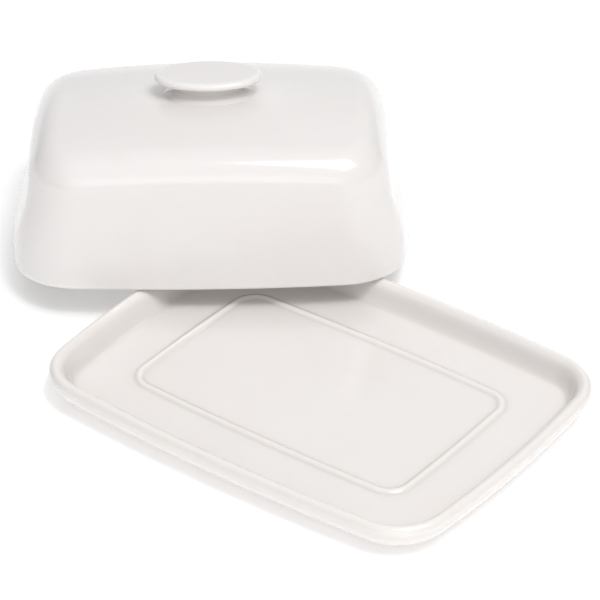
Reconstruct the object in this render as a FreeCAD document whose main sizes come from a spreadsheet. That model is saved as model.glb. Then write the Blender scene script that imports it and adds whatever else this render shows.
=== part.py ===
import FreeCAD, Part
import math
import os
import Sketcher
from FreeCAD import Placement, Rotation, Vector

# Covered butter dish in glazed porcelain: a shallow tray on a foot ring, and a
# loaf-shaped cover with an oval knob. The cover is off, behind the tray, with
# its front rim propped on the tray's rim and its back rim on the table.
#
# Frame: origin at the centre of the tray's foot ring on the table, +X along the
# tray's long side, +Y towards the cover, +Z up. Millimetres.

os.makedirs("parts", exist_ok=True)
doc = FreeCAD.newDocument("butter_dish")

# ---------------------------------------------------------------- dimensions
SIZES = [
    # tray: outline at the widest part of the rim
    ("tray_half_length", 99.6),
    ("tray_half_width", 74.6),
    ("tray_corner_radius", 25.0),
    ("tray_side_radius", 1000.0),
    ("tray_end_radius", 545.0),
    ("tray_height", 14.5),
    ("tray_rim_max_z", 11.8),
    ("tray_floor_inset", 11.4),
    ("tray_floor_z", 5.4),
    ("tray_under_z", 1.8),
    # inner side of the rim: inset from the outline, and height
    ("tray_in_1_inset", 4.8), ("tray_in_1_z", 13.6),
    ("tray_in_2_inset", 7.6), ("tray_in_2_z", 9.0),
    # outer side of the rim
    ("tray_out_1_inset", 1.2), ("tray_out_1_z", 7.5),
    ("tray_out_2_inset", 4.6), ("tray_out_2_z", 3.9),
    ("tray_crest_inset", 2.5),
    # foot ring under the tray
    ("foot_outer_inset", 13.0),
    ("foot_inner_inset", 17.4),
    ("foot_round", 0.9),
    # raised bead on the floor that keeps the butter clear of the cover
    ("bead_half_length", 67.8),
    ("bead_half_width", 42.0),
    ("bead_corner_radius", 10.0),
    ("bead_side_radius", 1500.0),
    ("bead_end_radius", 900.0),
    ("bead_half_base", 2.6),
    ("bead_rise", 1.1),
    ("bead_sink", 0.4),
    # cover: outer outlines, from the rim up; the last lies above the crown
    ("cover_0_z", 0.0), ("cover_0_length", 87.6), ("cover_0_width", 62.8),
    ("cover_0_corner", 30.0), ("cover_0_side", 700.0), ("cover_0_end", 200.0),
    ("cover_1_z", 7.0), ("cover_1_length", 87.2), ("cover_1_width", 62.2),
    ("cover_1_corner", 29.0), ("cover_1_side", 740.0), ("cover_1_end", 230.0),
    ("cover_2_z", 17.0), ("cover_2_length", 85.2), ("cover_2_width", 61.3),
    ("cover_2_corner", 27.0), ("cover_2_side", 820.0), ("cover_2_end", 300.0),
    ("cover_3_z", 29.0), ("cover_3_length", 80.8), ("cover_3_width", 60.3),
    ("cover_3_corner", 24.5), ("cover_3_side", 900.0), ("cover_3_end", 500.0),
    ("cover_4_z", 44.0), ("cover_4_length", 78.0), ("cover_4_width", 59.2),
    ("cover_4_corner", 23.5), ("cover_4_side", 900.0), ("cover_4_end", 700.0),
    ("cover_5_z", 72.0), ("cover_5_length", 74.8), ("cover_5_width", 57.2),
    ("cover_5_corner", 23.0), ("cover_5_side", 900.0), ("cover_5_end", 800.0),
    ("cover_wall", 4.2),
    ("cover_height", 65.0),
    ("cover_crown_along", 640.0),
    ("cover_crown_across", 225.0),
    ("cover_top_round", 16.0),
    ("cover_inner_round", 11.5),
    ("cover_top_wall", 4.6),
    # knob: the oval of its foot, and heights above the cover's top
    ("knob_foot_depth", 1.2),
    ("knob_0_length", 19.5), ("knob_0_width", 13.2), ("knob_0_corner", 15.0),
    ("knob_0_side", 29.0), ("knob_0_end", 9.0),
    ("knob_1_z", 0.9), ("knob_1_length", 16.6), ("knob_1_width", 10.6), ("knob_1_corner", 12.0),
    ("knob_1_side", 25.0), ("knob_1_end", 7.2),
    ("knob_2_z", 2.9), ("knob_2_length", 15.2), ("knob_2_width", 9.4), ("knob_2_corner", 11.0),
    ("knob_2_side", 23.0), ("knob_2_end", 6.2),
    ("knob_3_z", 4.6), ("knob_3_length", 16.6), ("knob_3_width", 10.4), ("knob_3_corner", 12.0),
    ("knob_3_side", 25.0), ("knob_3_end", 7.2),
    ("knob_4_z", 6.0), ("knob_4_length", 20.2), ("knob_4_width", 12.8), ("knob_4_corner", 15.0),
    ("knob_4_side", 32.0), ("knob_4_end", 8.8),
    ("knob_disc_length", 23.4), ("knob_disc_width", 15.0), ("knob_disc_corner", 18.0),
    ("knob_disc_side", 36.0), ("knob_disc_end", 10.2),
    ("knob_disc_low", 5.6), ("knob_disc_high", 9.6),
    ("knob_disc_round", 1.9),
    # where the cover lies: rim centre, and turn, pitch and roll in degrees
    ("cover_x", -110.03),
    ("cover_y", 67.96),
    ("cover_lift", 8.062),
    ("cover_yaw", 37.64),
    ("cover_pitch", -0.542),
    ("cover_roll", -6.907),
]

sheet = doc.addObject("Spreadsheet::Sheet", "dims")
D = {}
for row, (alias, value) in enumerate(SIZES, start=1):
    sheet.set("A%d" % row, alias.replace("_", " "))
    sheet.set("B%d" % row, "%.6g" % value)
    sheet.setAlias("B%d" % row, alias)
    D[alias] = value
doc.recompute()


class Size:
    """One size: its expression in the sheet and its value."""

    def __init__(self, alias, *less):
        # less: (factor, alias) pairs added to the first size
        self.text = "dims.%s" % alias
        self.value = D[alias]
        for factor, other in less:
            self.text += " %s %g * dims.%s" % ("+" if factor > 0 else "-", abs(factor), other)
            self.value += factor * D[other]


def plane(body, role):
    for feature in body.Origin.OriginFeatures:
        if feature.Role == role:
            return feature
    raise RuntimeError("no plane " + role)


def new_body(name):
    body = doc.addObject("PartDesign::Body", name)
    body.Label = name
    return body


def new_sketch(body, name, role="XY_Plane", height=None):
    sketch = body.newObject("Sketcher::SketchObject", name)
    sketch.AttachmentSupport = [(plane(body, role), "")]
    sketch.MapMode = "FlatFace"
    if height is not None:
        sketch.AttachmentOffset = Placement(Vector(0, 0, height.value), Rotation())
        sketch.setExpression("AttachmentOffset.Base.z", height.text)
    return sketch


def bowed_outline(sketch, length, width, corner, side, end):
    """A closed outline of nine tangent arcs, from the middle of the +X end round.

    length and width are half sizes to the middle of the end and of the side;
    side and end are the radii of the bowed long and short sides."""
    first = sketch.GeometryCount
    xc = length.value - end.value            # centre of the +X end's arc
    yc = width.value - side.value            # centre of the +Y side's arc
    r1 = end.value - corner.value
    r2 = side.value - corner.value
    gap = math.hypot(xc, yc)
    along = (r1 * r1 - r2 * r2 + gap * gap) / (2 * gap)
    off = math.sqrt(max(r1 * r1 - along * along, 0.0))
    ux, uy = -xc / gap, yc / gap
    for k in (1, -1):
        cx, cy = xc + along * ux + k * off * -uy, along * uy + k * off * ux
        way = 1 if r1 > 0 else -1
        a_end = math.atan2(way * cy, way * (cx - xc))
        a_side = math.atan2(cy - yc, cx)
        if 0 < a_end < a_side < math.pi / 2:
            break
    else:
        raise RuntimeError("these radii don't close an outline in " + sketch.Name)
    up = Vector(0, 0, 1)

    def arc(x, y, radius, start, stop):
        return Part.ArcOfCircle(Part.Circle(Vector(x, y, 0), up, radius), start, stop)

    pi = math.pi
    shapes = [
        arc(xc, 0, end.value, 0, a_end),
        arc(cx, cy, corner.value, a_end, a_side),
        arc(0, yc, side.value, a_side, pi - a_side),
        arc(-cx, cy, corner.value, pi - a_side, pi - a_end),
        arc(-xc, 0, end.value, pi - a_end, pi + a_end),
        arc(-cx, -cy, corner.value, pi + a_end, pi + a_side),
        arc(0, -yc, side.value, pi + a_side, 2 * pi - a_side),
        arc(cx, -cy, corner.value, -a_side, -a_end),
        arc(xc, 0, end.value, -a_end, 0),
    ]
    sketch.addGeometry(shapes, False)
    n = [first + i for i in range(9)]
    C = Sketcher.Constraint
    rules = [C("Tangent", n[i], 2, n[i + 1], 1) for i in range(8)]
    rules += [
        C("Coincident", n[8], 2, n[0], 1),
        C("Coincident", n[8], 3, n[0], 3),
        C("PointOnObject", n[0], 1, -1),
        C("PointOnObject", n[0], 3, -1),
        C("PointOnObject", n[4], 3, -1),
        C("PointOnObject", n[2], 3, -2),
        C("PointOnObject", n[6], 3, -2),
        C("Equal", n[0], n[4]),
        C("Equal", n[2], n[6]),
        C("Equal", n[1], n[3]),
        C("Equal", n[1], n[5]),
        C("Equal", n[1], n[7]),
    ]
    sketch.addConstraint(rules)

    def sized(constraint, text):
        index = sketch.addConstraint(constraint)
        sketch.setExpression("Constraints[%d]" % index, text)

    sized(C("Radius", n[0], end.value), end.text)
    sized(C("Radius", n[2], side.value), side.text)
    sized(C("Radius", n[1], corner.value), corner.text)
    sized(C("DistanceX", -1, 1, n[0], 1, length.value), length.text)
    sized(C("DistanceX", -1, 1, n[4], 3, end.value - length.value), "(%s) - (%s)" % (end.text, length.text))
    sized(C("DistanceY", n[2], 3, -1, 1, side.value - width.value), "(%s) - (%s)" % (side.text, width.text))
    sized(C("DistanceY", -1, 1, n[6], 3, side.value - width.value), "(%s) - (%s)" % (side.text, width.text))
    return n


def point_sizes(sketch, geo, pos, x, z):
    """Holds one sketch point at a sheet-driven x and height."""
    C = Sketcher.Constraint
    k = sketch.addConstraint(C("DistanceX", -1, 1, geo, pos, x.value))
    sketch.setExpression("Constraints[%d]" % k, x.text)
    k = sketch.addConstraint(C("DistanceY", -1, 1, geo, pos, z.value))
    sketch.setExpression("Constraints[%d]" % k, z.text)


def checked(feature):
    doc.recompute()
    state = feature.State
    if "Invalid" in state or "Error" in state:
        raise RuntimeError("%s failed: %s" % (feature.Name, state))
    return feature


# --------------------------------------------------------------------- tray
tray = new_body("tray")


def tray_outline(name, inset=None, height=None):
    sketch = new_sketch(tray, name, "XY_Plane", height)
    less = [(-1, inset)] if inset else []
    bowed_outline(sketch,
                  Size("tray_half_length", *less), Size("tray_half_width", *less),
                  Size("tray_corner_radius", *less), Size("tray_side_radius", *less),
                  Size("tray_end_radius", *less))
    return sketch


# Floor plate, from the recessed underside up to the floor of the well.
floor_sketch = tray_outline("tray_floor_outline", "tray_floor_inset", Size("tray_under_z"))
floor = tray.newObject("PartDesign::Pad", "tray_floor")
floor.Profile = floor_sketch
floor.Length = D["tray_floor_z"] - D["tray_under_z"]
floor.setExpression("Length", "dims.tray_floor_z - dims.tray_under_z")
checked(floor)

# The rolled rim: one closed section carried round the tray's outline.
rim_path = tray_outline("tray_rim_path")
section = new_sketch(tray, "tray_rim_section", "XZ_Plane")
rim_points = [
    ("tray_floor_inset", "tray_under_z"),
    ("tray_out_2_inset", "tray_out_2_z"),
    ("tray_out_1_inset", "tray_out_1_z"),
    (None, "tray_rim_max_z"),
    ("tray_crest_inset", "tray_height"),
    ("tray_in_1_inset", "tray_in_1_z"),
    ("tray_in_2_inset", "tray_in_2_z"),
    ("tray_floor_inset", "tray_floor_z"),
]
xz = []
for inset, z in rim_points:
    x = Size("tray_half_length", (-1, inset)) if inset else Size("tray_half_length")
    xz.append((x, Size(z)))


def section_point(index):
    return Vector(xz[index][0].value, xz[index][1].value, 0)


# Underside and outer wall, rising slowly and then steeply to the rim's widest
# part; the rounded crest; the inner wall, easing into the floor.
outer_curve = Part.BSplineCurve()
outer_curve.interpolate([section_point(i) for i in range(0, 4)],
                        InitialTangent=Vector(12, 1.4, 0), FinalTangent=Vector(0, 5, 0))
crest_curve = Part.BSplineCurve()
crest_curve.interpolate([section_point(3), section_point(4), section_point(5)],
                        InitialTangent=Vector(0, 5, 0), FinalTangent=Vector(-3.2, -2.2, 0))
inner_curve = Part.BSplineCurve()
inner_curve.interpolate([section_point(5), section_point(6), section_point(7)],
                        InitialTangent=Vector(-3.2, -2.2, 0), FinalTangent=Vector(-9, 0, 0))
g_out = section.addGeometry(outer_curve, False)
g_crest = section.addGeometry(crest_curve, False)
g_in = section.addGeometry(inner_curve, False)
g_close = section.addGeometry(Part.LineSegment(section_point(7), section_point(0)), False)
for a, pa, b, pb in ((g_out, 2, g_crest, 1), (g_crest, 2, g_in, 1), (g_in, 2, g_close, 1), (g_close, 2, g_out, 1)):
    section.addConstraint(Sketcher.Constraint("Coincident", a, pa, b, pb))
point_sizes(section, g_out, 1, *xz[0])
point_sizes(section, g_crest, 1, *xz[3])
point_sizes(section, g_in, 1, *xz[5])
point_sizes(section, g_close, 1, *xz[7])
rim = tray.newObject("PartDesign::AdditivePipe", "tray_rim")
rim.Profile = section
rim.Spine = (rim_path, [])
rim.Transition = 0
checked(rim)

# Foot ring, a low wall under the edge of the floor.
foot_sketch = new_sketch(tray, "tray_foot_outline")
for inset in ("foot_outer_inset", "foot_inner_inset"):
    bowed_outline(foot_sketch,
                  Size("tray_half_length", (-1, inset)), Size("tray_half_width", (-1, inset)),
                  Size("tray_corner_radius", (-1, inset)), Size("tray_side_radius", (-1, inset)),
                  Size("tray_end_radius", (-1, inset)))
foot = tray.newObject("PartDesign::Pad", "tray_foot")
foot.Profile = foot_sketch
foot.Length = D["tray_under_z"] + 0.8
foot.setExpression("Length", "dims.tray_under_z + 0.8")
checked(foot)

# Bead round the butter's seat.
bead_path = new_sketch(tray, "tray_bead_path", "XY_Plane", Size("tray_floor_z"))
bowed_outline(bead_path, Size("bead_half_length"), Size("bead_half_width"), Size("bead_corner_radius"),
              Size("bead_side_radius"), Size("bead_end_radius"))
bead_section = new_sketch(tray, "tray_bead_section", "XZ_Plane")
bx = D["bead_half_length"]
bz = D["tray_floor_z"]
left = Vector(bx - D["bead_half_base"], bz - D["bead_sink"], 0)
top = Vector(bx, bz + D["bead_rise"], 0)
right = Vector(bx + D["bead_half_base"], bz - D["bead_sink"], 0)
g_arc = bead_section.addGeometry(Part.Arc(right, top, left), False)
g_line = bead_section.addGeometry(Part.LineSegment(left, right), False)
bead_section.addConstraint(Sketcher.Constraint("Coincident", g_arc, 2, g_line, 1))
bead_section.addConstraint(Sketcher.Constraint("Coincident", g_line, 2, g_arc, 1))
point_sizes(bead_section, g_line, 1, Size("bead_half_length", (-1, "bead_half_base")), Size("tray_floor_z", (-1, "bead_sink")))
point_sizes(bead_section, g_line, 2, Size("bead_half_length", (1, "bead_half_base")), Size("tray_floor_z", (-1, "bead_sink")))
half = D["bead_half_base"]
tall = D["bead_rise"] + D["bead_sink"]
k = bead_section.addConstraint(Sketcher.Constraint("Radius", g_arc, (half * half + tall * tall) / (2 * tall)))
bead_section.setExpression(
    "Constraints[%d]" % k,
    "(dims.bead_half_base ^ 2 + (dims.bead_rise + dims.bead_sink) ^ 2) / (2 * (dims.bead_rise + dims.bead_sink))")
bead = tray.newObject("PartDesign::AdditivePipe", "tray_bead")
bead.Profile = bead_section
bead.Spine = (bead_path, [])
bead.Transition = 0
checked(bead)

# The foot ring's two bottom edges are rounded.
low_edges = []
for index, edge in enumerate(bead.Shape.Edges, start=1):
    box = edge.BoundBox
    if abs(box.ZMin) < 1e-4 and abs(box.ZMax) < 1e-4:
        low_edges.append("Edge%d" % index)
foot_rounds = tray.newObject("PartDesign::Fillet", "tray_foot_rounds")
foot_rounds.Base = (bead, low_edges)
foot_rounds.Radius = D["foot_round"]
foot_rounds.setExpression("Radius", "dims.foot_round")
checked(foot_rounds)
tray.Tip = foot_rounds

# -------------------------------------------------------------------- cover
LEVELS = 6


def shell_form(name, wall, height, crown_across, crown_along, edge_round, start_drop):
    """The loaf form: lofted walls, a crowned top and a rounded top edge.

    wall is None for the outside, or the size alias by which it is set in."""
    body = new_body(name)
    sections = []
    less = [(-1, wall)] if wall else []
    for level in range(LEVELS):
        key = "cover_%d_" % level
        z = Size(key + "z")
        if level == 0 and start_drop:
            z.text = "%s - %g" % (z.text, start_drop)
            z.value -= start_drop
        sketch = new_sketch(body, "%s_level_%d" % (name, level), "XY_Plane", z)
        bowed_outline(sketch,
                      Size(key + "length", *less), Size(key + "width", *less), Size(key + "corner", *less),
                      Size(key + "side", *less), Size(key + "end", *less))
        sections.append(sketch)
    walls = body.newObject("PartDesign::AdditiveLoft", name + "_walls")
    walls.Profile = sections[0]
    walls.Sections = sections[1:]
    walls.Ruled = False
    checked(walls)

    # The crown: an arc across the cover, swung along it about a low axis that
    # runs across. What lies above is cut away.
    crown_sketch = new_sketch(body, name + "_crown_line", "YZ_Plane")
    reach = 76.0
    across, along = crown_across, crown_along
    drop = across.value - math.sqrt(across.value ** 2 - reach ** 2)
    top = height.value + 40
    near = Vector(-reach, height.value - drop, 0)
    far = Vector(reach, height.value - drop, 0)
    centre = Vector(0, height.value - across.value, 0)
    angle = math.asin(reach / across.value)
    arc = Part.ArcOfCircle(Part.Circle(centre, Vector(0, 0, 1), across.value), math.pi / 2 - angle, math.pi / 2 + angle)
    g0 = crown_sketch.addGeometry(arc, False)
    g1 = crown_sketch.addGeometry(Part.LineSegment(near, Vector(-reach, top, 0)), False)
    g2 = crown_sketch.addGeometry(Part.LineSegment(Vector(-reach, top, 0), Vector(reach, top, 0)), False)
    g3 = crown_sketch.addGeometry(Part.LineSegment(Vector(reach, top, 0), far), False)
    g4 = crown_sketch.addGeometry(Part.LineSegment(Vector(-20, height.value - along.value, 0),
                                                   Vector(20, height.value - along.value, 0)), True)
    C = Sketcher.Constraint
    crown_sketch.addConstraint([
        C("Coincident", g0, 2, g1, 1), C("Coincident", g1, 2, g2, 1), C("Coincident", g2, 2, g3, 1),
        C("Coincident", g3, 2, g0, 1), C("Vertical", g1), C("Horizontal", g2), C("Vertical", g3),
        C("PointOnObject", g0, 3, -2), C("Horizontal", g4)])
    for constraint, text in (
            (C("Radius", g0, across.value), across.text),
            (C("DistanceY", g0, 3, -1, 1, across.value - height.value), "(%s) - (%s)" % (across.text, height.text)),
            (C("DistanceX", g1, 2, -1, 1, reach), "%g" % reach),
            (C("DistanceX", -1, 1, g3, 1, reach), "%g" % reach),
            (C("DistanceY", -1, 1, g1, 2, top), "%s + 40" % height.text),
            (C("DistanceX", g4, 1, -1, 1, 20.0), "20"),
            (C("DistanceX", -1, 1, g4, 2, 20.0), "20"),
            (C("DistanceY", g4, 1, -1, 1, along.value - height.value), "(%s) - (%s)" % (along.text, height.text))):
        index = crown_sketch.addConstraint(constraint)
        crown_sketch.setExpression("Constraints[%d]" % index, text)
    crown = body.newObject("PartDesign::Groove", name + "_crown")
    crown.Profile = crown_sketch
    crown.ReferenceAxis = (crown_sketch, ["Axis0"])
    crown.Midplane = True
    crown.Angle = 24
    before = walls.Shape.Volume
    checked(crown)
    if not crown.Shape.Volume < before - 100:
        raise RuntimeError("the crown cut nothing")

    edges = []
    for index, edge in enumerate(crown.Shape.Edges, start=1):
        box = edge.BoundBox
        if box.ZMin > height.value - 18 and box.ZMax < height.value - 0.2:
            edges.append("Edge%d" % index)
    rounds = body.newObject("PartDesign::Fillet", name + "_top_round")
    rounds.Base = (crown, edges)
    rounds.Radius = edge_round.value
    rounds.setExpression("Radius", edge_round.text)
    checked(rounds)
    body.Tip = rounds
    return body, rounds


outer_form, outer_tip = shell_form(
    "cover_outside", None, Size("cover_height"), Size("cover_crown_across"), Size("cover_crown_along"),
    Size("cover_top_round"), 0)
inner_form, inner_tip = shell_form(
    "cover_inside", "cover_wall", Size("cover_height", (-1, "cover_top_wall")),
    Size("cover_crown_across", (-1, "cover_top_wall")), Size("cover_crown_along", (-1, "cover_top_wall")),
    Size("cover_inner_round"), 0.6)

cover_shell = doc.addObject("Part::Cut", "cover_shell")
cover_shell.Label = "cover_shell"
cover_shell.Base = outer_form
cover_shell.Tool = inner_form
checked(cover_shell)

# --------------------------------------------------------------------- knob
# Oval knob: a foot that fits the crown, a waisted neck and a flat disc.
knob = new_body("knob_form")


def knob_outline(name, z, key):
    sketch = new_sketch(knob, name, "XY_Plane", z)
    bowed_outline(sketch, Size(key + "length"), Size(key + "width"), Size(key + "corner"),
                  Size(key + "side"), Size(key + "end"))
    return sketch


knob_levels = [
    knob_outline("knob_foot", Size("cover_height", (-1, "knob_foot_depth")), "knob_0_"),
    knob_outline("knob_foot_edge", Size("cover_height"), "knob_0_"),
]
for level in (1, 2, 3, 4):
    key = "knob_%d_" % level
    knob_levels.append(knob_outline("knob_level_%d" % level, Size("cover_height", (1, key + "z")), key))
neck = knob.newObject("PartDesign::AdditiveLoft", "knob_neck")
neck.Profile = knob_levels[0]
neck.Sections = knob_levels[1:]
neck.Ruled = False
checked(neck)
disc_sketch = knob_outline("knob_disc_outline", Size("cover_height", (1, "knob_disc_low")), "knob_disc_")
disc = knob.newObject("PartDesign::Pad", "knob_disc")
disc.Profile = disc_sketch
disc.Length = D["knob_disc_high"] - D["knob_disc_low"]
disc.setExpression("Length", "dims.knob_disc_high - dims.knob_disc_low")
checked(disc)
disc_edges = []
for index, edge in enumerate(disc.Shape.Edges, start=1):
    box = edge.BoundBox
    middle = edge.valueAt((edge.FirstParameter + edge.LastParameter) / 2)
    for z in (D["knob_disc_low"], D["knob_disc_high"]):
        level = D["cover_height"] + z
        outside = (middle.x / D["knob_4_length"]) ** 2 + (middle.y / D["knob_4_width"]) ** 2 > 1.12
        if abs(box.ZMin - level) < 1e-3 and abs(box.ZMax - level) < 1e-3 and outside:
            disc_edges.append("Edge%d" % index)
disc_rounds = knob.newObject("PartDesign::Fillet", "knob_disc_rounds")
disc_rounds.Base = (disc, disc_edges)
disc_rounds.Radius = D["knob_disc_round"]
disc_rounds.setExpression("Radius", "dims.knob_disc_round")
checked(disc_rounds)
knob.Tip = disc_rounds

# The foot is hollowed to the crown, so that it sits on it all over.
cover_knob = doc.addObject("Part::Cut", "cover_knob")
cover_knob.Label = "cover_knob"
cover_knob.Base = knob
cover_knob.Tool = outer_form
before = knob.Shape.Volume
checked(cover_knob)
if not 20 < before - cover_knob.Shape.Volume < 1500:
    raise RuntimeError("the knob's foot isn't cut to the crown: %g" % (before - cover_knob.Shape.Volume))

# -------------------------------------------------------------------- places
tray.Placement = Placement()
cover_place = Placement(Vector(D["cover_x"], D["cover_y"], D["cover_lift"]),
                        Rotation(D["cover_yaw"], D["cover_pitch"], D["cover_roll"]))
for piece in (cover_shell, cover_knob):
    piece.Placement = cover_place
doc.recompute()

# -------------------------------------------------------------------- output
for thing in doc.Objects:
    if "Invalid" in thing.State or "Error" in thing.State:
        raise RuntimeError("%s is in state %s" % (thing.Name, thing.State))

for piece in (tray, cover_shell, cover_knob):
    shape = piece.Shape
    if shape.isNull() or not shape.isValid():
        raise RuntimeError("%s has no valid shape" % piece.Label)
    if len(shape.Solids) != 1:
        raise RuntimeError("%s has %d solids" % (piece.Label, len(shape.Solids)))
    shape.exportStep(os.path.join("parts", piece.Label + ".step"))
    box = shape.BoundBox
    print("%-12s volume %8.1f  x %7.2f %7.2f  y %7.2f %7.2f  z %6.2f %6.2f" % (
        piece.Label, shape.Volume, box.XMin, box.XMax, box.YMin, box.YMax, box.ZMin, box.ZMax))
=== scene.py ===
import math

import bpy
import numpy as np
from mathutils import Matrix, Vector


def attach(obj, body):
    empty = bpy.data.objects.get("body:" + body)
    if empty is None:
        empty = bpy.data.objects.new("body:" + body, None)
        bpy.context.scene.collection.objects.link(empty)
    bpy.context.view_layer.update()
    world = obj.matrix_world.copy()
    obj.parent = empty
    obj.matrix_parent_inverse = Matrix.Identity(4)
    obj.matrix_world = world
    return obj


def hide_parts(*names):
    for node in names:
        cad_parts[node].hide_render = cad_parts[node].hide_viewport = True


# Covered butter dish in glazed porcelain. Everything is in metres in the CAD
# frame; the lists of sizes below are in millimetres and become metres in build().

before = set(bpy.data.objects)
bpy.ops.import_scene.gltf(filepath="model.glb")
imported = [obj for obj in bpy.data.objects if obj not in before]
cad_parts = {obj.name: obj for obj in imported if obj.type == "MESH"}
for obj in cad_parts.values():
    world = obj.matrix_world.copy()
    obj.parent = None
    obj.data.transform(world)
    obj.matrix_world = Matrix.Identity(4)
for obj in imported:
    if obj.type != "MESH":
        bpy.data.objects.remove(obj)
scene = bpy.context.scene
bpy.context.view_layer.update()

MM = 0.001


# ------------------------------------------------------------------ outlines
# One outline is nine tangent arcs: bowed ends, bowed sides, round corners.
# Every outline has the same number of points in the same order, so that rings
# taken from different outlines join one to one.
END_STEPS, CORNER_STEPS, SIDE_STEPS = 26, 20, 34


def outline(A, B, r, side, end):
    """Points and outward normals of an outline with half sizes A and B."""
    xc, yc = A - end, B - side
    r1, r2 = end - r, side - r
    gap = math.hypot(xc, yc)
    along = (r1 * r1 - r2 * r2 + gap * gap) / (2 * gap)
    off = math.sqrt(max(r1 * r1 - along * along, 0.0))
    ux, uy = -xc / gap, yc / gap
    for k in (1, -1):
        cx = xc + along * ux - k * off * uy
        cy = along * uy + k * off * ux
        way = 1 if r1 > 0 else -1
        a_end = math.atan2(way * cy, way * (cx - xc))
        a_side = math.atan2(cy - yc, cx)
        if 0 < a_end < a_side < math.pi / 2:
            break
    else:
        raise RuntimeError("these radii don't close an outline")
    pi = math.pi
    arcs = [
        (xc, 0, end, -a_end, a_end, END_STEPS),
        (cx, cy, r, a_end, a_side, CORNER_STEPS),
        (0, yc, side, a_side, pi - a_side, SIDE_STEPS),
        (-cx, cy, r, pi - a_side, pi - a_end, CORNER_STEPS),
        (-xc, 0, end, pi - a_end, pi + a_end, END_STEPS),
        (-cx, -cy, r, pi + a_end, pi + a_side, CORNER_STEPS),
        (0, -yc, side, pi + a_side, 2 * pi - a_side, SIDE_STEPS),
        (cx, -cy, r, 2 * pi - a_side, 2 * pi - a_end, CORNER_STEPS),
    ]
    pts, nrm = [], []
    for x, y, radius, a0, a1, n in arcs:
        for i in range(n):
            a = a0 + (a1 - a0) * i / n
            pts.append((x + radius * math.cos(a), y + radius * math.sin(a)))
            nrm.append((math.cos(a), math.sin(a)))
    return np.array(pts), np.array(nrm)


def ring(flat, z):
    """A ring in space from flat points and one height or one height a point."""
    out = np.empty((len(flat), 3))
    out[:, :2] = flat
    out[:, 2] = z
    return out


def smooth_line(t, values, at, start=None, stop=None):
    """Cubic spline through values at t, with free ends unless slopes are given."""
    t = np.asarray(t, float)
    values = np.asarray(values, float)
    shape = values.shape[1:]
    v = values.reshape(len(t), -1)
    n = len(t)
    h = np.diff(t)
    M = np.zeros((n, n))
    b = np.zeros_like(v)
    for i in range(1, n - 1):
        M[i, i - 1], M[i, i], M[i, i + 1] = h[i - 1], 2 * (h[i - 1] + h[i]), h[i]
        b[i] = 6 * ((v[i + 1] - v[i]) / h[i] - (v[i] - v[i - 1]) / h[i - 1])
    if start is None:
        M[0, 0] = 1
    else:
        M[0, 0], M[0, 1] = 2 * h[0], h[0]
        b[0] = 6 * ((v[1] - v[0]) / h[0] - np.asarray(start, float).reshape(-1))
    if stop is None:
        M[-1, -1] = 1
    else:
        M[-1, -2], M[-1, -1] = h[-1], 2 * h[-1]
        b[-1] = 6 * (np.asarray(stop, float).reshape(-1) - (v[-1] - v[-2]) / h[-1])
    m = np.linalg.solve(M, b)
    at = np.atleast_1d(np.asarray(at, float))
    k = np.clip(np.searchsorted(t, at) - 1, 0, n - 2)
    hk = h[k][:, None]
    a0 = (t[k + 1] - at)[:, None] / hk
    a1 = (at - t[k])[:, None] / hk
    out = (a0 * v[k] + a1 * v[k + 1]
           + ((a0 ** 3 - a0) * m[k] + (a1 ** 3 - a1) * m[k + 1]) * hk ** 2 / 6)
    return out.reshape((len(at),) + shape)


def chords(points):
    d = np.linalg.norm(np.diff(np.asarray(points, float), axis=0), axis=-1)
    if d.ndim > 1:
        d = d.mean(axis=1)
    return np.concatenate([[0.0], np.cumsum(d)])


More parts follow.
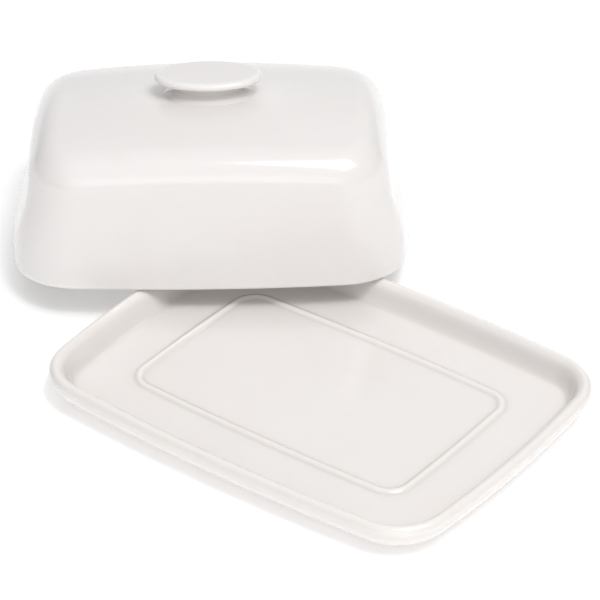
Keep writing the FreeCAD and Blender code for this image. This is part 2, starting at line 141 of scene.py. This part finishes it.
# ------------------------------------------------------------------- meshes
def build(name, rings, first=None, last=None, place=None, bare=None):
    """A closed mesh from rings (mm). first and last are the middle points that
    close the two ends, or None for both when the last ring joins the first.
    bare gives, for each ring, how far the glaze has been wiped off (0 to 1)."""
    n = len(rings[0])
    verts = [r for r in rings]
    co = np.concatenate(verts, axis=0)
    faces = []
    count = len(rings)
    for j in range(count - 1 if first is not None else count):
        a, b = j * n, ((j + 1) % count) * n
        for i in range(n):
            k = (i + 1) % n
            faces.append((a + i, a + k, b + k, b + i))
    amount = np.zeros(len(co))
    if bare is not None:
        for j, value in enumerate(bare):
            amount[j * n:(j + 1) * n] = value
    if first is not None:
        top, bottom = len(co), len(co) + 1
        co = np.concatenate([co, [first, last]], axis=0)
        amount = np.concatenate([amount, [0.0, 0.0]])
        for i in range(n):
            k = (i + 1) % n
            faces.append((top, k, i))
            faces.append((bottom, (count - 1) * n + i, (count - 1) * n + k))
    co = co * MM
    if place is not None:
        co = co @ np.array(place.to_3x3()).T + np.array(place.translation)
    mesh = bpy.data.meshes.new(name)
    mesh.from_pydata([tuple(p) for p in co], [], faces)
    mesh.update()
    # faces look outwards
    volume = 0.0
    for f in faces:
        p0 = co[f[0]]
        for i in range(1, len(f) - 1):
            volume += float(np.dot(p0, np.cross(co[f[i]], co[f[i + 1]])))
    if volume < 0:
        mesh.flip_normals()
    mesh.update()
    for p in mesh.polygons:
        p.use_smooth = True
    layer = mesh.attributes.new("wiped", "FLOAT", "POINT")
    layer.data.foreach_set("value", amount.astype(np.float32))

    # How the surface bends at each point: above 0 in a hollow, below 0 on an edge. The porcelain uses it to paint
    # shade into the hollows and a highlight onto the edges.
    flat = np.empty(len(co) * 3, np.float32)
    mesh.vertices.foreach_get("normal", flat)
    normals = flat.reshape(-1, 3)
    edges = np.empty(len(mesh.edges) * 2, np.int32)
    mesh.edges.foreach_get("vertices", edges)
    edges = edges.reshape(-1, 2)
    d = co[edges[:, 1]] - co[edges[:, 0]]
    l2 = np.maximum((d * d).sum(1), 1e-14)
    bend = np.zeros(len(co))
    weight = np.zeros(len(co))
    for s, (p, q) in ((1, (0, 1)), (-1, (1, 0))):
        k = 2 * (s * d * normals[edges[:, p]]).sum(1) / l2
        np.add.at(bend, edges[:, p], k)
        np.add.at(weight, edges[:, p], 1)
    bend = bend / np.maximum(weight, 1)
    for _ in range(6):
        total = np.zeros(len(co))
        np.add.at(total, edges[:, 0], bend[edges[:, 1]])
        np.add.at(total, edges[:, 1], bend[edges[:, 0]])
        bend = 0.5 * bend + 0.5 * total / np.maximum(weight, 1)
    bend = np.clip(bend / 220.0, -1, 1)
    layer = mesh.attributes.new("relief", "FLOAT", "POINT")
    layer.data.foreach_set("value", bend.astype(np.float32))
    obj = bpy.data.objects.new(name, mesh)
    scene.collection.objects.link(obj)
    return obj


def shrink_rings(edge, z, steps, power=1.0):
    """Rings from a flat outline in towards the middle."""
    out = []
    for i in range(1, steps):
        t = (1 - i / steps) ** power
        out.append(ring(edge * t, z))
    return out


# --------------------------------------------------------------------- tray
TRAY = (99.6, 74.6, 25.0, 1000.0, 545.0)
BEAD = (67.8, 42.0, 10.0, 1500.0, 900.0)
FLOOR_Z, UNDER_Z = 5.4, 1.8
tray_p, tray_n = outline(*TRAY)
bead_p, bead_n = outline(*BEAD)


def tray_ring(inset, z):
    return ring(tray_p - inset * tray_n, z)


tray_rings, tray_bare = [], []


def tray_add(r, bare=0.0):
    tray_rings.append(r)
    tray_bare.append(bare)


# floor inside the bead, from the middle outwards
BEAD_HALF = 2.5
inner_edge = bead_p - BEAD_HALF * bead_n
for t in (0.12, 0.28, 0.45, 0.62, 0.78, 0.90, 0.96, 0.99):
    tray_add(ring(inner_edge * t, FLOOR_Z))
# the bead
for i in range(0, 19):
    d = -BEAD_HALF + 2 * BEAD_HALF * i / 18
    rise = 0.95 * (0.5 + 0.5 * math.cos(math.pi * d / BEAD_HALF))
    tray_add(ring(bead_p + d * bead_n, FLOOR_Z + rise))
# floor outside the bead
outer_edge = bead_p + BEAD_HALF * bead_n
wall_start = tray_p - 11.4 * tray_n
for t in (0.03, 0.10, 0.25, 0.45, 0.65, 0.82, 0.94):
    tray_add(ring(outer_edge * (1 - t) + wall_start * t, FLOOR_Z))

# the rim's section: inner wall, crest and outer wall, as inset and height
inner = np.array([(11.4, 5.4), (7.6, 9.0), (4.8, 13.6)])
t = chords(inner)
line = smooth_line(t, inner, np.linspace(0, t[-1], 26), start=(-1.0, 0.02), stop=(-0.80, 0.56))
for s, z in line[:-1]:
    tray_add(tray_ring(s, z))
crest = np.array([(4.8, 13.6), (2.5, 14.5), (0.0, 11.8)])
t = chords(crest)
line = smooth_line(t, crest, np.linspace(0, t[-1], 20), start=(-0.80, 0.56), stop=(0.0, -1.0))
for s, z in line[:-1]:
    tray_add(tray_ring(s, z))
outer = np.array([(0.0, 11.8), (1.2, 7.5), (4.6, 3.9), (11.4, 1.8)])
t = chords(outer)
line = smooth_line(t, outer, np.linspace(0, t[-1], 40), start=(0.0, -1.0), stop=(0.99, -0.12))
for s, z in line:
    tray_add(tray_ring(s, z))
# foot ring, standing on a bare, wiped edge
for s, z, bare in ((12.2, 1.80, 0.0), (12.65, 1.74, 0.0), (12.9, 1.56, 0.0), (13.0, 1.30, 0.1), (13.03, 0.95, 0.5), (13.15, 0.56, 0.9),
                   (13.45, 0.22, 1.0), (13.9, 0.06, 1.0), (14.5, 0.0, 1.0), (15.2, 0.0, 1.0), (15.9, 0.0, 1.0),
                   (16.5, 0.06, 1.0), (16.95, 0.22, 1.0), (17.25, 0.56, 0.9), (17.37, 0.95, 0.5), (17.42, 1.30, 0.1),
                   (17.60, 1.62, 0.0), (17.95, 1.77, 0.0), (18.5, 1.8, 0.0)):
    tray_add(tray_ring(s, z), bare)
# recessed base
base_edge = tray_p - 18.5 * tray_n
for t in (0.97, 0.9, 0.8, 0.65, 0.5, 0.33, 0.15):
    tray_add(ring(base_edge * t, UNDER_Z))
tray = build("tray_porcelain", tray_rings, (0, 0, FLOOR_Z), (0, 0, UNDER_Z), bare=tray_bare)

# -------------------------------------------------------------------- cover
LEVELS = (  # height, half length, half width, corner, side and end radius
    (0.0, 87.6, 62.8, 30.0, 700.0, 200.0),
    (7.0, 87.2, 62.2, 29.0, 740.0, 230.0),
    (17.0, 85.2, 61.3, 27.0, 820.0, 300.0),
    (29.0, 80.8, 60.3, 24.5, 900.0, 500.0),
    (44.0, 78.0, 59.2, 23.5, 900.0, 700.0),
    (72.0, 74.8, 57.2, 23.0, 900.0, 800.0),
)
WALL, COVER_H, TOP_WALL = 4.2, 65.0, 4.6
ACROSS, ALONG = 225.0, 640.0      # the crown: an arc across, swung along about a low axis


def wall_points(inset):
    zs = np.array([l[0] for l in LEVELS])
    pts = np.array([outline(l[1] - inset, l[2] - inset, l[3] - inset, l[4] - inset, l[5] - inset)[0] for l in LEVELS])
    return zs, pts


def crown_z(flat, drop=0.0):
    """Height of the crown (or of the surface drop below it) over flat points."""
    across, along, height = ACROSS - drop, ALONG - drop, COVER_H - drop
    arc = across - np.sqrt(np.maximum(across ** 2 - flat[..., 1] ** 2, 1.0))
    return height - along + np.sqrt((along - arc) ** 2 - flat[..., 0] ** 2)


def under_crown(points, drop=0.0):
    """How far points lie under the crown, along its normal."""
    along, height = ALONG - drop, COVER_H - drop
    ring_r = along - (ACROSS - drop)
    swing = np.hypot(points[..., 0], points[..., 2] - (height - along))
    return (ACROSS - drop) - np.hypot(points[..., 1], swing - ring_r)


def crown_normal(points, drop=0.0):
    """The crown's outward direction at points near it."""
    along, height = ALONG - drop, COVER_H - drop
    ring_r = along - (ACROSS - drop)
    low = height - along
    swing = np.hypot(points[..., 0], points[..., 2] - low)
    unit = np.stack([points[..., 0] / swing, np.zeros_like(swing), (points[..., 2] - low) / swing], -1)
    core = unit * ring_r + np.array([0.0, 0.0, low])
    out = points - core
    return out / np.linalg.norm(out, axis=-1, keepdims=True)


def form(inset, drop, edge_round, z_low, steps_wall, steps_round, steps_crown):
    """Rings of the loaf form: up the wall, over a rolling-ball round, across the crown."""
    zs, pts = wall_points(inset)
    fine = np.linspace(-1.0, 72.0, 400)
    body = smooth_line(zs, pts, fine)                    # (400, n, 2)
    slope = np.gradient(body, fine, axis=0)              # change with height
    round_the = (np.roll(body, -1, axis=1) - np.roll(body, 1, axis=1)) / 2
    n = body.shape[1]
    # inward normal of the wall, in space
    t3 = np.concatenate([round_the, np.zeros(round_the.shape[:2] + (1,))], axis=2)
    u3 = np.concatenate([slope, np.ones(slope.shape[:2] + (1,))], axis=2)
    inward = -np.cross(t3, u3)
    inward /= np.linalg.norm(inward, axis=2, keepdims=True)
    space = np.concatenate([body, np.broadcast_to(fine[:, None, None], body.shape[:2] + (1,))], axis=2)
    ball = space + edge_round * inward
    reach = edge_round - under_crown(ball, drop)          # above 0 once the ball breaks through the crown
    touch = np.empty(n)
    for i in range(n):
        k = int(np.argmax(reach[:, i] > 0))
        f = -reach[k - 1, i] / (reach[k, i] - reach[k - 1, i])
        touch[i] = fine[k - 1] + f * (fine[k] - fine[k - 1])

    def at_height(values, heights):
        """values (400, n, c) read off at one height for each point."""
        x = (heights - fine[0]) / (fine[1] - fine[0])
        k = np.clip(x.astype(int), 0, len(fine) - 2)
        f = (x - k)[:, None]
        idx = np.arange(n)
        return values[k, idx] * (1 - f) + values[k + 1, idx] * f

    rings = []
    for j in range(steps_wall):
        s = j / steps_wall
        heights = z_low + s * (touch - z_low)
        rings.append(ring(at_height(body, heights), heights))
    normal = at_height(inward, touch)
    normal /= np.linalg.norm(normal, axis=1, keepdims=True)
    middle = np.concatenate([at_height(body, touch), touch[:, None]], axis=1) + edge_round * normal
    up = crown_normal(middle, drop)
    out = -normal
    angle = np.arccos(np.clip((up * out).sum(1), -1, 1))[:, None]
    for j in range(steps_round + 1):
        s = j / steps_round
        direction = (np.sin((1 - s) * angle) * out + np.sin(s * angle) * up) / np.sin(angle)
        rings.append(middle + edge_round * direction)
    edge = rings[-1]
    for j in range(1, steps_crown):
        t = 1 - j / steps_crown
        flat = edge[:, :2] * t
        rings.append(ring(flat, crown_z(flat, drop)))
    return rings, np.array([0.0, 0.0, COVER_H - drop])


EDGE = 1.7      # height over which the standing edge is rounded
outside, outside_top = form(0.05, 0.03, 16.0, EDGE, 46, 26, 30)
inside, inside_top = form(WALL, TOP_WALL, 11.5, EDGE, 34, 18, 20)

zs, low_out = wall_points(0.05)
_, low_in = wall_points(WALL)
o0, i0 = low_out[0], low_in[0]
across = i0 - o0                       # from the outer to the inner edge
edge_rings, edge_bare = [], []
for s in np.linspace(0, 1, 25)[1:-1]:
    # rounded outer corner, narrow bare flat, rounded inner corner
    x = 0.5 - 0.5 * math.cos(math.pi * s)
    q = abs(2 * x - 1)
    z = EDGE * (1 - (1 - q ** 2.6) ** (1 / 2.6)) + 0.05
    base = o0 + across * x
    # follow the walls' own slope near both ends
    edge_rings.append(ring(base, z))
    edge_bare.append(1.0 if z < 0.42 else 0.0)
o_bottom = outside[0]
i_bottom = inside[0]
shift_o = (o_bottom[:, :2] - o0)
shift_i = (i_bottom[:, :2] - i0)
for k, r in enumerate(edge_rings):
    s = (k + 1) / 24
    x = 0.5 - 0.5 * math.cos(math.pi * s)
    lift = np.clip((r[:, 2:3] - 0.05) / EDGE, 0, 1)
    r[:, :2] += lift * (shift_o * (x < 0.5) + shift_i * (x >= 0.5))

# from the outer crown's middle, down outside, round the edge, up inside
cover_rings = list(reversed(outside)) + edge_rings + inside
cover_bare = [0.0] * len(outside) + edge_bare + [0.0] * len(inside)

place = (Matrix.Translation(Vector((-110.03, 67.96, 8.062)) * MM)
         @ Matrix.Rotation(math.radians(37.64), 4, "Z")
         @ Matrix.Rotation(math.radians(-0.542), 4, "Y")
         @ Matrix.Rotation(math.radians(-6.907), 4, "X"))
cover = build("cover_porcelain", cover_rings, outside_top, inside_top, place=place, bare=cover_bare)

# --------------------------------------------------------------------- knob
knob_sections = [
    # grow or inset, outline, height over the crown's top (None: on the crown), height over the crown
    (0.9, (19.5, 13.2, 15.0, 29.0, 9.0), None, -0.10),
    (0.05, (19.5, 13.2, 15.0, 29.0, 9.0), None, 0.16),
    (-1.1, (19.5, 13.2, 15.0, 29.0, 9.0), None, 0.62),
    (0.0, (16.5, 10.5, 12.0, 25.0, 7.2), 1.25, 0),
    (0.0, (15.2, 9.4, 11.0, 23.0, 6.2), 2.95, 0),
    (0.0, (16.5, 10.5, 12.0, 25.0, 7.2), 4.55, 0),
    (0.0, (19.2, 12.1, 15.0, 32.0, 8.8), 5.52, 0),
    (-1.7, (23.4, 15.0, 18.0, 36.0, 10.2), 5.92, 0),
    (-0.42, (23.4, 15.0, 18.0, 36.0, 10.2), 6.66, 0),
    (0.0, (23.4, 15.0, 18.0, 36.0, 10.2), 7.60, 0),
    (-0.42, (23.4, 15.0, 18.0, 36.0, 10.2), 8.62, 0),
    (-1.5, (23.4, 15.0, 18.0, 36.0, 10.2), 9.26, 0),
    (-3.0, (23.4, 15.0, 18.0, 36.0, 10.2), 9.45, 0),
]
levels = []
for grow, sizes, z, over in knob_sections:
    p, q = outline(*sizes)
    flat = p + grow * q
    levels.append(ring(flat, crown_z(flat) + over if z is None else COVER_H + z))
levels = np.array(levels)
t = chords(levels)
knob_rings = [r for r in smooth_line(t, levels, np.linspace(0, t[-1], 92))]
# underside hidden in the crown, and the slightly domed top
start = knob_rings[0]
under = []
for k in (0.30, 0.55, 0.80, 0.94):
    flat = start[:, :2] * k
    under.append(ring(flat, crown_z(flat) - 0.35))
rim = knob_rings[-1]
top = []
for k in (0.93, 0.84, 0.72, 0.58, 0.42, 0.25, 0.10):
    flat = rim[:, :2] * k
    top.append(ring(flat, COVER_H + 9.45 + 0.12 * (1 - k ** 2)))
knob = build("knob_porcelain", under + knob_rings + top, (0, 0, COVER_H - 0.35), (0, 0, COVER_H + 9.57), place=place)


# ---------------------------------------------------------------- materials
def node(tree, kind, at, **inputs):
    n = tree.nodes.new(kind)
    n.location = at
    for key, value in inputs.items():
        n.inputs[key].default_value = value
    return n


def porcelain(name, tint, seed):
    """White porcelain under clear glaze: faint clouding in the body, painted shade
    darkening the hollows and a painted highlight lightening the edges, and the bare body where it is wiped."""
    mat = bpy.data.materials.new(name)
    mat.use_nodes = True
    tree = mat.node_tree
    tree.nodes.clear()
    out = node(tree, "ShaderNodeOutputMaterial", (900, 0))
    bsdf = node(tree, "ShaderNodeBsdfPrincipled", (560, 0))
    tree.links.new(bsdf.outputs["BSDF"], out.inputs["Surface"])
    coords = node(tree, "ShaderNodeTexCoord", (-1400, 0))
    shift = node(tree, "ShaderNodeMapping", (-1220, 0))
    shift.inputs["Location"].default_value = (seed * 0.37, seed * 0.19, seed * 0.71)
    tree.links.new(coords.outputs["Object"], shift.inputs["Vector"])
    where = shift.outputs["Vector"]

    # clouding of the body, a few centimetres across
    cloud = node(tree, "ShaderNodeTexNoise", (-980, 260))
    cloud.inputs["Scale"].default_value = 22.0
    cloud.inputs["Detail"].default_value = 3.0
    cloud.inputs["Roughness"].default_value = 0.55
    tree.links.new(where, cloud.inputs["Vector"])
    body = node(tree, "ShaderNodeValToRGB", (-780, 260))
    body.color_ramp.elements[0].position = 0.34
    body.color_ramp.elements[0].color = (tint[0] * 0.985, tint[1] * 0.975, tint[2] * 0.968, 1)
    body.color_ramp.elements[1].position = 0.68
    body.color_ramp.elements[1].color = (*tint, 1)
    tree.links.new(cloud.outputs["Fac"], body.inputs["Fac"])

    # painted shade darkening the hollows, painted highlight lightening the edges
    relief = node(tree, "ShaderNodeAttribute", (-980, -20))
    relief.attribute_name = "relief"
    painted_shade_range = node(tree, "ShaderNodeMapRange", (-780, -20))
    painted_shade_range.inputs["From Min"].default_value = 0.02
    painted_shade_range.inputs["From Max"].default_value = 0.75
    tree.links.new(relief.outputs["Fac"], painted_shade_range.inputs["Value"])
    painted_highlight_range = node(tree, "ShaderNodeMapRange", (-780, -240))
    painted_highlight_range.inputs["From Min"].default_value = -0.06
    painted_highlight_range.inputs["From Max"].default_value = -0.9
    tree.links.new(relief.outputs["Fac"], painted_highlight_range.inputs["Value"])
    # painted shade: a darker colour mixed in where the surface is hollow
    painted_shade_mix = node(tree, "ShaderNodeMix", (-520, 220))
    painted_shade_mix.data_type = "RGBA"
    painted_shade_mix.inputs[7].default_value = (tint[0] * 0.90, tint[1] * 0.885, tint[2] * 0.865, 1)
    tree.links.new(painted_shade_range.outputs["Result"], painted_shade_mix.inputs[0])
    tree.links.new(body.outputs["Color"], painted_shade_mix.inputs[6])
    # painted highlight: a lighter colour mixed in where the surface bends over an edge
    painted_highlight_mix = node(tree, "ShaderNodeMix", (-320, 220))
    painted_highlight_mix.data_type = "RGBA"
    painted_highlight_mix.inputs[7].default_value = (min(tint[0] * 1.03, 0.97), min(tint[1] * 1.025, 0.97), min(tint[2] * 1.015, 0.97), 1)
    tree.links.new(painted_highlight_range.outputs["Result"], painted_highlight_mix.inputs[0])
    tree.links.new(painted_shade_mix.outputs[2], painted_highlight_mix.inputs[6])

    # bare body on the standing edges, with a wavy glaze line and fine grain
    wiped = node(tree, "ShaderNodeAttribute", (-980, -480))
    wiped.attribute_name = "wiped"
    wave = node(tree, "ShaderNodeTexNoise", (-980, -700))
    wave.inputs["Scale"].default_value = 160.0
    wave.inputs["Detail"].default_value = 2.0
    tree.links.new(where, wave.inputs["Vector"])
    wavy = node(tree, "ShaderNodeMath", (-760, -560))
    wavy.operation = "MULTIPLY_ADD"
    wavy.inputs[1].default_value = 0.5
    wavy.inputs[2].default_value = -0.25
    tree.links.new(wave.outputs["Fac"], wavy.inputs[0])
    total = node(tree, "ShaderNodeMath", (-580, -520))
    total.operation = "ADD"
    tree.links.new(wiped.outputs["Fac"], total.inputs[0])
    tree.links.new(wavy.outputs["Value"], total.inputs[1])
    bare = node(tree, "ShaderNodeMapRange", (-400, -520))
    bare.inputs["From Min"].default_value = 0.42
    bare.inputs["From Max"].default_value = 0.62
    tree.links.new(total.outputs["Value"], bare.inputs["Value"])
    grain = node(tree, "ShaderNodeTexNoise", (-400, -760))
    grain.inputs["Scale"].default_value = 2600.0
    grain.inputs["Detail"].default_value = 2.0
    tree.links.new(where, grain.inputs["Vector"])
    clay = node(tree, "ShaderNodeValToRGB", (-200, -760))
    clay.color_ramp.elements[0].color = (0.66, 0.635, 0.60, 1)
    clay.color_ramp.elements[1].color = (0.80, 0.78, 0.75, 1)
    tree.links.new(grain.outputs["Fac"], clay.inputs["Fac"])
    colour = node(tree, "ShaderNodeMix", (120, 180))
    colour.data_type = "RGBA"
    tree.links.new(bare.outputs["Result"], colour.inputs[0])
    tree.links.new(painted_highlight_mix.outputs[2], colour.inputs[6])
    tree.links.new(clay.outputs["Color"], colour.inputs[7])
    tree.links.new(colour.outputs[2], bsdf.inputs["Base Color"])

    # gloss: even, with a little more haze here and there, matt where bare
    haze = node(tree, "ShaderNodeTexNoise", (-400, -1000))
    haze.inputs["Scale"].default_value = 38.0
    haze.inputs["Detail"].default_value = 4.0
    tree.links.new(where, haze.inputs["Vector"])
    gloss = node(tree, "ShaderNodeMapRange", (-200, -1000))
    gloss.inputs["From Min"].default_value = 0.3
    gloss.inputs["From Max"].default_value = 0.75
    gloss.inputs["To Min"].default_value = 0.13
    gloss.inputs["To Max"].default_value = 0.21
    tree.links.new(haze.outputs["Fac"], gloss.inputs["Value"])
    matt = node(tree, "ShaderNodeMix", (120, -300))
    matt.data_type = "FLOAT"
    matt.inputs[3].default_value = 0.72
    tree.links.new(bare.outputs["Result"], matt.inputs[0])
    tree.links.new(gloss.outputs["Result"], matt.inputs[2])
    tree.links.new(matt.outputs[0], bsdf.inputs["Roughness"])

    # the glaze's soft ripple, and the bare body's tooth
    ripple = node(tree, "ShaderNodeTexNoise", (-400, -1240))
    ripple.inputs["Scale"].default_value = 140.0
    ripple.inputs["Detail"].default_value = 1.5
    ripple.inputs["Roughness"].default_value = 0.4
    tree.links.new(where, ripple.inputs["Vector"])
    height = node(tree, "ShaderNodeMix", (120, -1000))
    height.data_type = "FLOAT"
    tree.links.new(bare.outputs["Result"], height.inputs[0])
    tree.links.new(ripple.outputs["Fac"], height.inputs[2])
    tree.links.new(grain.outputs["Fac"], height.inputs[3])
    bump = node(tree, "ShaderNodeBump", (340, -700))
    bump.inputs["Strength"].default_value = 0.12
    bump.inputs["Distance"].default_value = 0.0006
    tree.links.new(height.outputs[0], bump.inputs["Height"])
    tree.links.new(bump.outputs["Normal"], bsdf.inputs["Normal"])

    bsdf.inputs["IOR"].default_value = 1.5
    bsdf.inputs["Specular IOR Level"].default_value = 0.5
    bsdf.inputs["Coat Weight"].default_value = 0.35
    bsdf.inputs["Coat Roughness"].default_value = 0.05
    bsdf.inputs["Coat IOR"].default_value = 1.5
    bsdf.inputs["Subsurface Weight"].default_value = 0.12
    bsdf.inputs["Subsurface Radius"].default_value = (1.0, 0.72, 0.55)
    bsdf.inputs["Subsurface Scale"].default_value = 0.0022
    return mat


WHITE = (0.865, 0.838, 0.828)
WARM = (0.865, 0.832, 0.812)
tray.data.materials.append(porcelain("porcelain_tray", WARM, 1.0))
cover.data.materials.append(porcelain("porcelain_cover", WHITE, 2.0))
knob.data.materials.append(porcelain("porcelain_knob", WHITE, 3.0))

# ------------------------------------------------------------- frame binding
for piece, body, cad in ((tray, "tray", "tray"), (cover, "cover", "cover_shell"), (knob, "cover", "cover_knob")):
    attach(piece, body)
    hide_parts(cad)

# -------------------------------------------------------- floor, light, view
floor_mesh = bpy.data.meshes.new("floor")
floor_mesh.from_pydata([(-9, -9, -0.0003), (9, -9, -0.0003), (9, 9, -0.0003), (-9, 9, -0.0003)], [], [(0, 1, 2, 3)])
floor = bpy.data.objects.new("floor", floor_mesh)
scene.collection.objects.link(floor)
pale = bpy.data.materials.new("pale_floor")
pale.use_nodes = True
shade = pale.node_tree.nodes["Principled BSDF"]
shade.inputs["Base Color"].default_value = (0.93, 0.93, 0.93, 1)
shade.inputs["Roughness"].default_value = 0.9
shade.inputs["Specular IOR Level"].default_value = 0.0
shade.inputs["Emission Color"].default_value = (1, 1, 1, 1)
shade.inputs["Emission Strength"].default_value = 0.26
floor_mesh.materials.append(pale)

world = bpy.data.worlds.new("studio")
scene.world = world
world.use_nodes = True
sky = world.node_tree
background = sky.nodes["Background"]
background.inputs["Color"].default_value = (0.98, 0.99, 1.0, 1)
# a studio with dark flags to both sides, so that the turned-in ends read
direction = sky.nodes.new("ShaderNodeTexCoord")
side = sky.nodes.new("ShaderNodeVectorMath")
side.operation = "DOT_PRODUCT"
side.inputs[1].default_value = (-0.80, -0.60, 0.0)
away = sky.nodes.new("ShaderNodeMath")
away.operation = "ABSOLUTE"
fall = sky.nodes.new("ShaderNodeMapRange")
fall.interpolation_type = "SMOOTHSTEP"
fall.inputs["From Min"].default_value = 0.25
fall.inputs["From Max"].default_value = 0.85
fall.inputs["To Min"].default_value = 0.83
fall.inputs["To Max"].default_value = 0.10
sky.links.new(direction.outputs["Generated"], side.inputs[0])
sky.links.new(side.outputs["Value"], away.inputs[0])
sky.links.new(away.outputs["Value"], fall.inputs["Value"])
sky.links.new(fall.outputs["Result"], background.inputs["Strength"])


def softbox(name, direction, distance, width, height, power, colour=(1, 1, 1), aim=(-0.03, 0.02, 0.03)):
    light = bpy.data.lights.new(name, "AREA")
    light.shape = "RECTANGLE"
    light.size, light.size_y = width, height
    light.energy = power
    light.color = colour
    lamp = bpy.data.objects.new(name, light)
    d = Vector(direction).normalized()
    lamp.location = Vector(aim) + d * distance
    lamp.rotation_mode = "QUATERNION"
    lamp.rotation_quaternion = (-d).to_track_quat("-Z", "Y")
    scene.collection.objects.link(lamp)
    return lamp


softbox("key", (0.42, -0.02, 0.90), 1.7, 0.9, 0.9, 10.5, (1.0, 0.992, 0.98))
softbox("overhead", (0.354, -0.144, 0.911), 2.0, 0.26, 0.26, 4.0)
softbox("front", (0.52, -0.76, 0.40), 2.6, 1.4, 1.0, 5.0)

camera_data = bpy.data.cameras.new("camera")
camera_data.lens = 179.63
camera_data.sensor_width = 36.0
camera_data.clip_start = 0.05
camera_data.clip_end = 60.0
camera = bpy.data.objects.new("camera", camera_data)
scene.collection.objects.link(camera)
camera.location = (0.5995, -0.8070, 0.7123)
camera.rotation_mode = "QUATERNION"
camera.rotation_quaternion = Vector((-0.5031, 0.6662, -0.5505)).to_track_quat("-Z", "Y")
scene.camera = camera

scene.view_settings.view_transform = "Standard"
scene.view_settings.look = "None"
scene.view_settings.exposure = 0.0
scene.view_settings.gamma = 1.0

bpy.context.view_layer.update()
